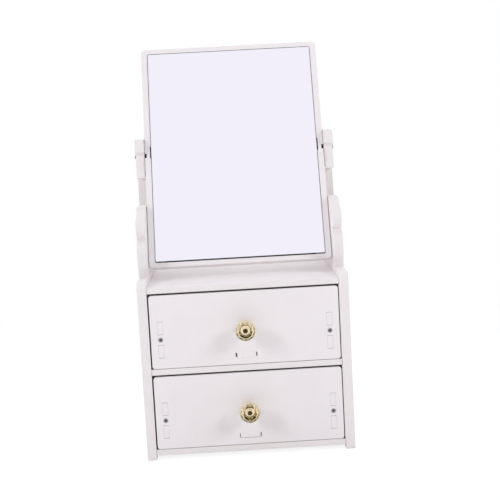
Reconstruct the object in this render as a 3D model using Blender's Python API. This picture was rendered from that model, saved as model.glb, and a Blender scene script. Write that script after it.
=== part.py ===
"""Tabletop vanity box: two drawers below, a mirror that tilts between scrolled side panels above.

Metres, +Z up, the drawers open towards -Y. The boards slot together with tenons and screws, and the
whole stands on the lower edges of its side panels. Every piece is an object of its own.
"""

import math
from collections import namedtuple

import bmesh
import bpy
from mathutils import Matrix, Vector

# Carcass: two side panels, three boards between them and a back board
WIDTH = 0.2096
DEPTH = 0.150
PANEL = 0.0094
BOARD = 0.006
FOOT = 0.0043
UPPER_BAY = 0.076
LOWER_BAY = 0.076
BACK_BOARD = 0.005
BACK_INSET = 0.008
CARCASS_TENON = 0.024
CARCASS_TENON_SPREAD = 0.034
BACK_TENON = 0.026
BACK_TENON_SPREAD = 0.042

# Side panels above the carcass: a step, two scrolled lobes, a neck and the head that holds the pivot
STEP_RISE = 0.0055
STEP_CORNER = 0.007
LOBE_HEIGHT = 0.0712
NECK_LEAN = 0.005
NECK_SETBACK = 0.003
NECK_FILLET = 0.003
HEAD_REACH = 0.0115
HEAD_ABOVE = 0.0184
HEAD_BELOW = 0.0224
HEAD_BACK_CORNER = 0.012

# Points of the lobes' front edge: shares of the pivot's depth and of the lobes' height, going up
LOWER_LOBE_SHARES = (
    (0.383, 0.0),
    (0.367, 0.07),
    (0.333, 0.15),
    (0.317, 0.26),
    (0.314, 0.38),
    (0.342, 0.475),
    (0.415, 0.548),
)
UPPER_LOBE_SHARES = (
    (0.415, 0.548),
    (0.368, 0.605),
    (0.346, 0.68),
    (0.353, 0.765),
    (0.405, 0.846),
    (0.511, 0.90),
    (0.583, 0.955),
    (0.611, 1.0),
)
# Points of the head's front edge: shares of its reach and of its height below or above the pivot
LOWER_HEAD_SHARES = (
    (0.96, -1.0),
    (1.00, -0.90),
    (0.91, -0.76),
    (0.65, -0.56),
    (0.54, -0.36),
    (0.46, -0.18),
    (0.43, -0.02),
)
UPPER_HEAD_SHARES = (
    (0.43, -0.02),
    (0.50, 0.12),
    (0.74, 0.20),
    (0.96, 0.26),
    (0.90, 0.46),
    (0.82, 0.72),
    (0.57, 0.92),
    (0.13, 1.0),
)

# Mirror: a board with a pocket for the glass, on two bolts
PIVOT_DEPTH = 0.097
PIVOT_RISE = 0.1279
TILT = math.radians(19.8)
MIRROR_GAP = 0.0006
MIRROR_ABOVE = 0.1195
MIRROR_BELOW = 0.1234
MIRROR_BOARD = 0.010
MIRROR_CORNER = 0.0042
PIVOT_SETBACK = 0.006
GLASS_BORDER_SIDE = 0.0063
GLASS_BORDER_TOP = 0.0052
GLASS_BORDER_BOTTOM = 0.005
GLASS_GAP = 0.0005
GLASS_LIFT = 0.0014
GLASS_CORNER = 0.0014
GLASS = 0.002
GLASS_PAD = 0.0005
PAD_MARGIN = 0.004

# Mirror pivots: bolts in bushes, each with a nut in a slot behind the glass
BOLT_RADIUS = 0.0013
BOLT_HEAD_RADIUS = 0.0024
BOLT_HEAD = 0.0008
BUSH_RADIUS = 0.0021
BUSH_NOTCH = 0.002
BUSH_NOTCH_DROP = 0.0016
NUT_FLATS = 0.005
NUT = 0.0022
NUT_SLOT_HEIGHT = 0.0135
NUT_SLOT_RISE = 0.002
NUT_SLOT_NOTCH = 0.0008
NUT_SLOT_LENGTH = 0.007
BOLT_TAIL = 0.0015

# Drawers: a front, two sides, a back and a floor
DRAWER_FRONT = 0.006
DRAWER_BOARD = 0.005
FRONT_SIDE_GAP = 0.0014
FRONT_TOP_GAP = 0.0018
FRONT_BOTTOM_GAP = 0.0005
FRONT_CORNER = 0.0028
SIDE_INSET = 0.0073
SIDE_HEIGHT = 0.0586
SIDE_TENON = 0.012
SIDE_TENON_SPREAD = 0.0117
FLOOR_LIFT = 0.007
FLOOR_TENON = 0.0205
FLOOR_SIDE_TENON = 0.036
REAR_CLEARANCE = 0.003

# Knobs: a gilt base with a stud, and a faceted crystal on it
KNOB_REACH = 0.024
KNOB_FOOT_RADIUS = 0.0062
KNOB_FOOT = 0.0016
KNOB_NECK_RADIUS = 0.0031
KNOB_CUP_RADIUS = 0.0066
KNOB_CUP_START = 0.0058
KNOB_CUP_END = 0.0092
KNOB_STUD_RADIUS = 0.0023
KNOB_STUD_END = 0.0172
CRYSTAL_RADIUS = 0.0106
CRYSTAL_SIDES = 10
# Rings of the crystal from its seat to its table: share of the radius, share of the length, half turn
CRYSTAL_RING_SHARES = (
    (0.60, 0.0, 0.0),
    (0.93, 0.32, 0.5),
    (1.00, 0.55, 0.0),
    (0.88, 0.80, 0.5),
    (0.62, 1.0, 0.0),
)
KNOB_SCREW_RADIUS = 0.0018
KNOB_SCREW_HEAD_RADIUS = 0.0038
KNOB_SCREW_HEAD = 0.0022
KNOB_SCREW_GRIP = 0.0085

# Wood screws
SCREW_RADIUS = 0.0013
SCREW_HEAD_RADIUS = 0.0021
SCREW_HEAD = 0.0014
SCREW_SINK = 0.0003
SCREW_LENGTH = 0.022
SCREW_TIP = 0.003

# Fits and finish: the gap between pieces that touch, the room at each end of a tenon in its slot, a
# cutter's overrun and the softened arrises
FIT = 0.0003
TENON_END_GAP = 0.0006
OVERRUN = 0.002
ARRIS = 0.0004
ARRIS_ANGLE = math.radians(40)
SHARP_ANGLE = math.radians(35)
ROUND_STEPS = 16
SCREW_STEPS = 12
KNOB_STEPS = 24
CORNER_STEPS = 5
CURVE_STEPS = 3

# Levels and widths that follow from the sizes above
INNER_HALF = WIDTH / 2 - PANEL
BOTTOM_Z = FOOT
LOWER_BAY_Z = BOTTOM_Z + BOARD
MIDDLE_Z = LOWER_BAY_Z + LOWER_BAY
UPPER_BAY_Z = MIDDLE_Z + BOARD
TOP_Z = UPPER_BAY_Z + UPPER_BAY
CARCASS_TOP = TOP_Z + BOARD
STEP_Z = CARCASS_TOP + STEP_RISE
LOBE_TOP = STEP_Z + LOBE_HEIGHT
PIVOT_Z = CARCASS_TOP + PIVOT_RISE
BACK_REAR = DEPTH - BACK_INSET
BACK_FRONT = BACK_REAR - BACK_BOARD
MIRROR_HALF = INNER_HALF - MIRROR_GAP
POCKET_HALF = MIRROR_HALF - GLASS_BORDER_SIDE
POCKET_TOP = MIRROR_ABOVE - GLASS_BORDER_TOP
POCKET_BOTTOM = -MIRROR_BELOW + GLASS_BORDER_BOTTOM
POCKET_DEPTH = GLASS_PAD + GLASS + 2 * FIT
MIRROR_FRONT = -PIVOT_SETBACK
FRONT_HALF = INNER_HALF - FRONT_SIDE_GAP
SIDE_OUTER = FRONT_HALF - SIDE_INSET
SIDE_INNER = SIDE_OUTER - DRAWER_BOARD
SIDE_MIDDLE = (SIDE_OUTER + SIDE_INNER) / 2
DRAWER_REAR = BACK_FRONT - REAR_CLEARANCE
FLOOR_Z = FRONT_BOTTOM_GAP + FLOOR_LIFT

# The model's origin is under the middle of its outer box, knobs included
FRONT_Y = -(DEPTH - KNOB_REACH) / 2

Tabs = namedtuple("Tabs", "offsets length reach")
Finish = namedtuple("Finish", "name colour roughness metallic transmission")

WHITE_BOARD = Finish("white_board", (0.84, 0.82, 0.83), 0.55, 0.0, 0.0)
MIRROR_SILVER = Finish("mirror_silver", (0.90, 0.89, 0.95), 0.02, 1.0, 0.0)
BLACK_NYLON = Finish("black_nylon", (0.015, 0.015, 0.016), 0.45, 0.0, 0.0)
BLACK_FOAM = Finish("black_foam", (0.01, 0.01, 0.01), 0.9, 0.0, 0.0)
DARK_STEEL = Finish("dark_steel", (0.05, 0.05, 0.055), 0.4, 1.0, 0.0)
GREY_STEEL = Finish("grey_steel", (0.35, 0.34, 0.35), 0.35, 1.0, 0.0)
GILT = Finish("gilt", (0.83, 0.62, 0.28), 0.18, 1.0, 0.0)
CRYSTAL = Finish("crystal", (1.0, 0.99, 0.96), 0.02, 0.0, 1.0)


def clear_scene():
    """Empties the scene before the model is made."""
    for thing in list(bpy.data.objects):
        bpy.data.objects.remove(thing, do_unlink=True)


def material_for(finish):
    """The Principled material of a finish, made once."""
    material = bpy.data.materials.get(finish.name)
    if material is None:
        material = bpy.data.materials.new(finish.name)
        material.use_nodes = True
        shader = material.node_tree.nodes["Principled BSDF"]
        shader.inputs["Base Color"].default_value = (*finish.colour, 1.0)
        shader.inputs["Roughness"].default_value = finish.roughness
        shader.inputs["Metallic"].default_value = finish.metallic
        shader.inputs["Transmission Weight"].default_value = finish.transmission
    return material


def empty_at(name, place, parent=None, turn=0.0):
    """An empty that carries pieces, turned about X."""
    holder = bpy.data.objects.new(name, None)
    bpy.context.collection.objects.link(holder)
    holder.parent = parent
    holder.location = place
    holder.rotation_euler = (turn, 0.0, 0.0)
    return holder


def piece(name, mesh, finish, parent, place=(0.0, 0.0, 0.0), turn=(0.0, 0.0, 0.0)):
    """A named object for one sub-part, with its material."""
    if not mesh.materials:
        mesh.materials.append(material_for(finish))
    thing = bpy.data.objects.new(name, mesh)
    bpy.context.collection.objects.link(thing)
    thing.parent = parent
    thing.location = place
    thing.rotation_euler = turn
    return thing


def finished(name, work):
    """A mesh made from a bmesh, with its faces turned outward."""
    bmesh.ops.recalc_face_normals(work, faces=work.faces)
    mesh = bpy.data.meshes.new(name)
    work.to_mesh(mesh)
    work.free()
    return mesh


def in_plane(plane, u, v, w):
    """The point (u, v) of a plane XY, XZ or YZ, at the level w on the third axis."""
    values = dict(zip(plane, (u, v)))
    return Vector([values.get(letter, w) for letter in "XYZ"])


def prism(name, outline, plane, low, high):
    """An outline in a plane, extruded from the level low to the level high."""
    work = bmesh.new()
    corners = [work.verts.new(in_plane(plane, u, v, low)) for u, v in outline]
    face = work.faces.new(corners)
    grown = bmesh.ops.extrude_face_region(work, geom=[face])["geom"]
    lifted = [item for item in grown if isinstance(item, bmesh.types.BMVert)]
    bmesh.ops.translate(work, verts=lifted, vec=in_plane(plane, 0.0, 0.0, high - low))
    return finished(name, work)


def block(name, low, high):
    """A plain block between two corners."""
    outline = ((low[0], low[1]), (high[0], low[1]), (high[0], high[1]), (low[0], high[1]))
    return prism(name, outline, "XY", low[2], high[2])


def turned(name, profile, axis, closed=False, steps=ROUND_STEPS):
    """A profile of (radius, distance along the axis) turned about the axis X, Y or Z."""
    work = bmesh.new()
    along = Vector([float(letter == axis) for letter in "XYZ"])
    outward = Vector((along.y, along.z, along.x))
    points = [work.verts.new(along * reach + outward * radius) for radius, reach in profile]
    pairs = list(zip(points, points[1:])) + ([(points[-1], points[0])] if closed else [])
    edges = [work.edges.new(pair) for pair in pairs]
    bmesh.ops.spin(
        work,
        geom=points + edges,
        cent=(0.0, 0.0, 0.0),
        axis=along,
        angle=2 * math.pi,
        steps=steps,
        use_merge=True,
    )
    bmesh.ops.remove_doubles(work, verts=work.verts, dist=FIT / 100)
    mesh = finished(name, work)
    mesh.shade_smooth()
    mesh.set_sharp_from_angle(angle=SHARP_ANGLE)
    return mesh


def gathered(meshes_and_places):
    """Several meshes in one, each moved to its place."""
    work = bmesh.new()
    for mesh, place in meshes_and_places:
        known = len(work.verts)
        work.from_mesh(mesh)
        work.verts.ensure_lookup_table()
        bmesh.ops.transform(work, matrix=place, verts=work.verts[known:])
    return finished("rooms", work)


def carved(mesh, *groups, arris=ARRIS):
    """The mesh with its arrises softened, and with each group of rooms cut out of it in turn."""
    body = bpy.data.objects.new("body", mesh)
    bpy.context.collection.objects.link(body)
    if arris:
        soft = body.modifiers.new("arris", "BEVEL")
        soft.width = arris
        soft.segments = 1
        soft.limit_method = "ANGLE"
        soft.angle_limit = ARRIS_ANGLE
    tools = []
    for group in groups:
        tool = bpy.data.objects.new("room", gathered(group))
        bpy.context.collection.objects.link(tool)
        tool.hide_render = True
        tool.display_type = "WIRE"
        cut = body.modifiers.new("cut", "BOOLEAN")
        cut.operation = "DIFFERENCE"
        cut.solver = "EXACT"
        cut.object = tool
        tools.append(tool)
    graph = bpy.context.evaluated_depsgraph_get()
    result = bpy.data.meshes.new_from_object(body.evaluated_get(graph))
    result.name = mesh.name
    for thing in (body, *tools):
        bpy.data.objects.remove(thing, do_unlink=True)
    return result


def here(x=0.0, y=0.0, z=0.0):
    """A place, for a room that is gathered."""
    return Matrix.Translation((x, y, z))


def edge_with_tabs(start, end, tabs):
    """An outline's points from start to just before end, with tabs that stand out of the edge."""
    along = (end - start).normalized()
    out = Vector((along.y, -along.x))
    middle = (start + end) / 2
    points = [start]
    for offset in sorted(tabs.offsets if tabs else ()):
        for step, rise in ((-1, 0), (-1, 1), (1, 1), (1, 0)):
            points.append(middle + along * (offset + step * tabs.length / 2) + out * (rise * tabs.reach))
    return points


def tabbed_outline(low, high, lower=None, right=None, upper=None, left=None):
    """A rectangle's outline, anticlockwise, with tabs on the edges that have them."""
    corners = [Vector(low), Vector((high[0], low[1])), Vector(high), Vector((low[0], high[1]))]
    points = []
    for index, tabs in enumerate((lower, right, upper, left)):
        points += edge_with_tabs(corners[index], corners[(index + 1) % 4], tabs)
    return points


def rounded_outline(low, high, radius):
    """A rectangle's outline with round corners, anticlockwise."""
    centres = (
        (high[0] - radius, low[1] + radius, -0.5),
        (high[0] - radius, high[1] - radius, 0.0),
        (low[0] + radius, high[1] - radius, 0.5),
        (low[0] + radius, low[1] + radius, 1.0),
    )
    points = []
    for x, y, start in centres:
        for step in range(CORNER_STEPS + 1):
            angle = math.pi * (start + 0.5 * step / CORNER_STEPS)
            points.append((x + radius * math.cos(angle), y + radius * math.sin(angle)))
    return points


def smooth_run(points):
    """A smooth curve through the points, without its last one."""
    points = [Vector(point) for point in points]
    padded = [2 * points[0] - points[1], *points, 2 * points[-1] - points[-2]]
    curve = []
    for before, start, end, after in zip(padded, padded[1:], padded[2:], padded[3:]):
        for step in range(CURVE_STEPS):
            t = step / CURVE_STEPS
            pull = (end - before) * (t - 2 * t**2 + t**3) + (after - start) * (t**3 - t**2)
            curve.append(start * (2 * t**3 - 3 * t**2 + 1) + end * (3 * t**2 - 2 * t**3) + pull / 2)
    return curve


def corner_arc(centre, radius, start, end):
    """Points of an arc between two angles, given in quarter turns."""
    points = []
    for step in range(CORNER_STEPS + 1):
        angle = math.pi / 2 * (start + (end - start) * step / CORNER_STEPS)
        points.append(centre + radius * Vector((math.cos(angle), math.sin(angle))))
    return points


def side_panel_outline():
    """The side panel's outline in depth and height: up the back, and down the scrolled front."""
    head_top = PIVOT_Z + HEAD_ABOVE
    head_bottom = PIVOT_Z - HEAD_BELOW
    neck_foot = PIVOT_DEPTH + NECK_SETBACK
    neck_head = neck_foot + NECK_LEAN

    def lobe(shares):
        return [(PIVOT_DEPTH * y, STEP_Z + LOBE_HEIGHT * z) for y, z in shares]

    def head(shares):
        heights = [HEAD_BELOW if z < 0 else HEAD_ABOVE for _, z in shares]
        return [(PIVOT_DEPTH - HEAD_REACH * y, PIVOT_Z + h * z) for (y, z), h in zip(shares, heights)]

    points = [Vector((0.0, 0.0)), Vector((DEPTH, 0.0))]
    back_corner = Vector((DEPTH - HEAD_BACK_CORNER, head_top - HEAD_BACK_CORNER))
    points += corner_arc(back_corner, HEAD_BACK_CORNER, 0, 1)
    points += smooth_run(head(UPPER_HEAD_SHARES)[::-1])
    points += smooth_run(head(LOWER_HEAD_SHARES)[::-1])
    points.append(Vector(head(LOWER_HEAD_SHARES)[0]))
    points.append(Vector((neck_head, head_bottom)))
    fillet = Vector((neck_foot - NECK_FILLET, LOBE_TOP + NECK_FILLET))
    points += corner_arc(fillet, NECK_FILLET, 0, -1)
    points += smooth_run(lobe(UPPER_LOBE_SHARES)[::-1])
    points += smooth_run(lobe(LOWER_LOBE_SHARES)[::-1])
    points.append(Vector(lobe(LOWER_LOBE_SHARES)[0]))
    front_corner = Vector((STEP_CORNER, STEP_Z - STEP_CORNER))
    points += corner_arc(front_corner, STEP_CORNER, 1, 2)
    return points


def round_room(radius, low, high, axis):
    """The room for a pin of this radius between two levels on an axis, with the fit around it."""
    reach = radius + FIT
    profile = ((0.0, low), (reach, low), (reach, high), (0.0, high))
    return turned("round_room", profile, axis)


def screw_mesh():
    """A wood screw along +X, with its head's face at the origin."""
    profile = (
        (0.0, 0.0),
        (SCREW_HEAD_RADIUS - ARRIS, 0.0),
        (SCREW_HEAD_RADIUS, ARRIS),
        (SCREW_HEAD_RADIUS, SCREW_HEAD),
        (SCREW_RADIUS, SCREW_HEAD),
        (SCREW_RADIUS, SCREW_LENGTH - SCREW_TIP),
        (0.0, SCREW_LENGTH),
    )
    return turned("wood_screw", profile, "X", steps=SCREW_STEPS)


def screw_room():
    """The room that a wood screw takes, open at its head."""
    profile = (
        (0.0, -OVERRUN),
        (SCREW_HEAD_RADIUS + FIT, -OVERRUN),
        (SCREW_HEAD_RADIUS + FIT, SCREW_HEAD + FIT),
        (SCREW_RADIUS + FIT, SCREW_HEAD + FIT),
        (SCREW_RADIUS + FIT, SCREW_LENGTH + FIT),
        (0.0, SCREW_LENGTH + FIT),
    )
    return turned("screw_room", profile, "X", steps=SCREW_STEPS)


def spread_offsets(spread):
    """The two tenons of a screwed joint, either side of its screw."""
    return (-spread, spread)


class Carcass:
    """The side panels with the boards between them; x = 0 in the middle, y = 0 at the front."""

    def __init__(self, origin):
        self.origin = origin
        self.screw = screw_mesh()
        self.room = screw_room()
        self.tabs = Tabs(spread_offsets(CARCASS_TENON_SPREAD), CARCASS_TENON, PANEL)
        self.back_tabs = Tabs(spread_offsets(BACK_TENON_SPREAD), BACK_TENON, PANEL)
        # Each board between the panels: its level, and where it ends at the back
        self.boards = {
            "bottom_board": (BOTTOM_Z, DEPTH),
            "middle_board": (MIDDLE_Z, BACK_FRONT - FIT),
            "top_board": (TOP_Z, DEPTH),
        }
        self.back_low = LOWER_BAY_Z + FIT
        self.back_high = TOP_Z - FIT
        self.back_middle = (self.back_low + self.back_high) / 2

    def screw_places(self):
        """Depth and height of each screw in a side panel, by the board that it holds."""
        places = {name: (rear / 2, z + BOARD / 2) for name, (z, rear) in self.boards.items()}
        places["back_board"] = ((BACK_FRONT + BACK_REAR) / 2, self.back_middle)
        return places

    def screw_rooms(self):
        """The room of every screw that comes in from the left and from the right."""
        start = WIDTH / 2 - SCREW_SINK
        rooms = []
        for y, z in self.screw_places().values():
            rooms.append((self.room, here(-start, y, z)))
            rooms.append((self.room, here(start, y, z) @ Matrix.Rotation(math.pi, 4, "Z")))
        return rooms

    def mortises(self, side):
        """The slots of one side panel for the tenons of all boards."""
        low, high = sorted((side * (INNER_HALF - OVERRUN), side * (WIDTH / 2 + OVERRUN)))
        slots = []
        for z, rear in self.boards.values():
            for offset in self.tabs.offsets:
                middle = rear / 2 + offset
                reach = self.tabs.length / 2 + TENON_END_GAP
                near = (low, middle - reach, z - FIT)
                slots.append((block("slot", near, (high, middle + reach, z + BOARD + FIT)), here()))
        for offset in self.back_tabs.offsets:
            middle = self.back_middle + offset
            reach = self.back_tabs.length / 2 + TENON_END_GAP
            near = (low, BACK_FRONT - FIT, middle - reach)
            slots.append((block("slot", near, (high, BACK_REAR + FIT, middle + reach)), here()))
        return slots

    def side_panel(self, name, side):
        """One side panel, with its mortises, its screw holes and the hole for the mirror's bush."""
        levels = sorted((side * INNER_HALF, side * WIDTH / 2))
        panel = prism(name, side_panel_outline(), "YZ", *levels)
        flip = Matrix.Scale(side, 4, (1.0, 0.0, 0.0))
        bush_room = round_room(BUSH_RADIUS, INNER_HALF - OVERRUN, WIDTH / 2 + OVERRUN, "X")
        hole = (bush_room, here(0.0, PIVOT_DEPTH, PIVOT_Z) @ flip)
        mesh = carved(panel, self.mortises(side) + [hole], self.screw_rooms())
        piece(name, mesh, WHITE_BOARD, self.origin)

    def flat_board(self, name):
        """One board between the side panels."""
        z, rear = self.boards[name]
        half = INNER_HALF - FIT
        outline = tabbed_outline((-half, 0.0), (half, rear), right=self.tabs, left=self.tabs)
        mesh = carved(prism(name, outline, "XY", z, z + BOARD), self.screw_rooms())
        piece(name, mesh, WHITE_BOARD, self.origin)

    def back(self):
        """The back board, set in behind the drawers."""
        half = INNER_HALF - FIT
        outline = tabbed_outline(
            (-half, self.back_low), (half, self.back_high), right=self.back_tabs, left=self.back_tabs
        )
        mesh = carved(prism("back_board", outline, "XZ", BACK_FRONT, BACK_REAR), self.screw_rooms())
        piece("back_board", mesh, WHITE_BOARD, self.origin)

    def screws(self):
        """The screws that come in through the side panels."""
        start = WIDTH / 2 - SCREW_SINK
        about = (0.0, 0.0, math.pi)
        for board, (y, z) in self.screw_places().items():
            piece(f"{board}_screw_left", self.screw, GREY_STEEL, self.origin, (-start, y, z))
            piece(f"{board}_screw_right", self.screw, GREY_STEEL, self.origin, (start, y, z), about)

    def build(self):
        """Makes every piece of the carcass."""
        self.side_panel("side_panel_left", -1)
        self.side_panel("side_panel_right", 1)
        for name in self.boards:
            self.flat_board(name)
        self.back()
        self.screws()


class Mirror:
    """The mirror's board, glass and pivots; the origin is on the pivot axis, -Y is the glass's side."""

    def __init__(self, origin, carcass_origin):
        self.origin = origin
        self.carcass_origin = carcass_origin
        self.nut_outer = POCKET_HALF + NUT_SLOT_NOTCH - FIT
        self.bolt_end = self.nut_outer - NUT - BOLT_TAIL
        self.bolt_head = WIDTH / 2 + FIT

    def bolt_mesh(self):
        """A bolt along +X, with its head outside the post and its tail past the nut."""
        head_top = self.bolt_head + BOLT_HEAD
        profile = (
            (0.0, self.bolt_end),
            (BOLT_RADIUS, self.bolt_end),
            (BOLT_RADIUS, self.bolt_head),
            (BOLT_HEAD_RADIUS, self.bolt_head),
            (BOLT_HEAD_RADIUS, head_top - BOLT_HEAD / 2),
            (BOLT_HEAD_RADIUS - BOLT_HEAD / 2, head_top),
            (0.0, head_top),
        )
        return turned("pivot_bolt", profile, "X")

    def both_sides(self, mesh):
        """A room made for the right, and its mirror image for the left."""
        return [(mesh, here()), (mesh, Matrix.Scale(-1, 4, (1.0, 0.0, 0.0)))]

    def board(self):
        """The board: its pocket, the nuts' slots, the bolts' holes and the notches for the bushes."""
        low = (-MIRROR_HALF, -MIRROR_BELOW)
        outline = rounded_outline(low, (MIRROR_HALF, MIRROR_ABOVE), MIRROR_CORNER)
        rear = MIRROR_FRONT + MIRROR_BOARD
        body = prism("mirror_board", outline, "XZ", MIRROR_FRONT, rear)
        floor = MIRROR_FRONT + POCKET_DEPTH
        pocket_outline = rounded_outline(
            (-POCKET_HALF, POCKET_BOTTOM), (POCKET_HALF, POCKET_TOP), GLASS_CORNER + GLASS_GAP
        )
        pocket = prism("pocket", pocket_outline, "XZ", MIRROR_FRONT - OVERRUN, floor)
        slot_outer = POCKET_HALF + NUT_SLOT_NOTCH
        slot = block(
            "nut_slot",
            (slot_outer - NUT_SLOT_LENGTH, MIRROR_FRONT - OVERRUN, NUT_SLOT_RISE - NUT_SLOT_HEIGHT / 2),
            (slot_outer, NUT_FLATS / 2 + FIT, NUT_SLOT_RISE + NUT_SLOT_HEIGHT / 2),
        )
        hole = round_room(BOLT_RADIUS, slot_outer - OVERRUN, MIRROR_HALF + OVERRUN, "X")
        bush_reach = BUSH_RADIUS + FIT
        near = MIRROR_FRONT - OVERRUN
        # The notch slopes down towards the front, so that the bush shows when the mirror leans back
        notch_outline = (
            (bush_reach, -bush_reach),
            (bush_reach, bush_reach),
            (0.0, bush_reach),
            (near, bush_reach - BUSH_NOTCH_DROP),
            (near, -bush_reach - BUSH_NOTCH_DROP),
            (0.0, -bush_reach),
        )
        notch = prism("notch", notch_outline, "YZ", MIRROR_HALF - BUSH_NOTCH, MIRROR_HALF + OVERRUN)
        mesh = carved(
            body, [(pocket, here())], self.both_sides(slot), self.both_sides(notch), self.both_sides(hole)
        )
        piece("mirror_board", mesh, WHITE_BOARD, self.origin)

    def glass(self):
        """The silvered glass, and the foam pad that holds it and shows in the gap under it."""
        low = (-POCKET_HALF + GLASS_GAP, POCKET_BOTTOM + GLASS_LIFT)
        high = (POCKET_HALF - GLASS_GAP, POCKET_TOP - GLASS_GAP)
        rear = MIRROR_FRONT + GLASS
        sheet = prism("mirror_glass", rounded_outline(low, high, GLASS_CORNER), "XZ", MIRROR_FRONT, rear)
        piece("mirror_glass", carved(sheet, arris=ARRIS / 2), MIRROR_SILVER, self.origin)
        inset = NUT_SLOT_LENGTH - NUT_SLOT_NOTCH + PAD_MARGIN
        low = (-POCKET_HALF + inset, POCKET_BOTTOM + FIT)
        high = (POCKET_HALF - inset, POCKET_TOP - PAD_MARGIN)
        pad_outline = rounded_outline(low, high, GLASS_CORNER)
        pad = prism("glass_pad", pad_outline, "XZ", rear + FIT, rear + FIT + GLASS_PAD)
        piece("glass_pad", pad, BLACK_FOAM, self.origin)

    def pivots(self):
        """Bolts and nuts, which turn with the mirror, and the bushes in the side panels."""
        bolt = self.bolt_mesh()
        half = NUT_FLATS / 2
        nut_block = block("nut", (self.nut_outer - NUT, -half, -half), (self.nut_outer, half, half))
        bore = round_room(BOLT_RADIUS, self.nut_outer - NUT - OVERRUN, self.nut_outer + OVERRUN, "X")
        nut = carved(nut_block, [(bore, here())])
        inner = MIRROR_HALF - BUSH_NOTCH + FIT
        bush = turned(
            "pivot_bush",
            (
                (BOLT_RADIUS + FIT, inner),
                (BUSH_RADIUS, inner),
                (BUSH_RADIUS, WIDTH / 2),
                (BOLT_RADIUS + FIT, WIDTH / 2),
            ),
            "X",
            closed=True,
        )
        for side, turn in (("right", 0.0), ("left", math.pi)):
            about_z = (0.0, 0.0, turn)
            piece(f"pivot_bolt_{side}", bolt, DARK_STEEL, self.origin, turn=about_z)
            piece(f"pivot_nut_{side}", nut, DARK_STEEL, self.origin, turn=about_z)
            place = (0.0, PIVOT_DEPTH, PIVOT_Z)
            piece(f"pivot_bush_{side}", bush, BLACK_NYLON, self.carcass_origin, place, about_z)

    def build(self):
        """Makes every piece of the mirror."""
        self.board()
        self.glass()
        self.pivots()


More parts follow.
